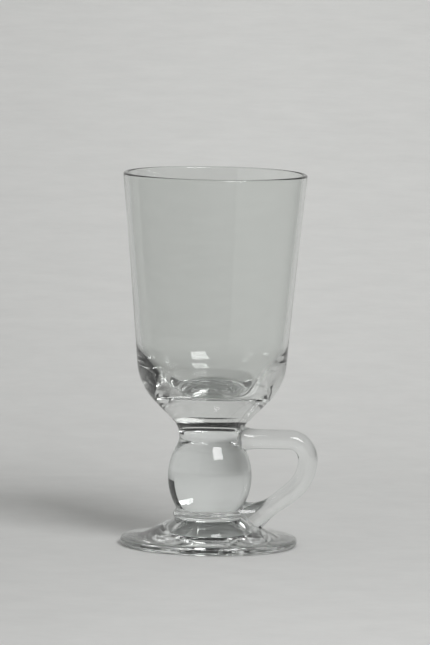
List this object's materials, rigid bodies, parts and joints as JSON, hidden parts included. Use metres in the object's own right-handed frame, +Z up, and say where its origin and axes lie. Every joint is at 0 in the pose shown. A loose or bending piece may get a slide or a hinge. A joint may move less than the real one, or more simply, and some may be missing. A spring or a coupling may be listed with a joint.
{
  "type": "irish coffee glass mug",
  "caption": "Tall flared clear glass bowl on a short ball stem and round foot, with a low curved glass handle at the stem, for hot coffee drinks.",
  "frame": {"origin": "middle of the flat ring under the foot, on the glass's axis, at the height of the table", "axes": "+Z up along the glass's axis, +X from the axis towards the handle"},
  "size_m": [0.0801, 0.0738, 0.15],
  "materials": {
    "clear_glass": "clear fire-polished soda-lime glass"
  },
  "bodies": {
    "root": {"foot": "clear_glass", "lower_collar": "clear_glass", "ball": "clear_glass", "upper_collar": "clear_glass", "bowl": "clear_glass", "handle": "clear_glass"}
  },
  "joints": []
}
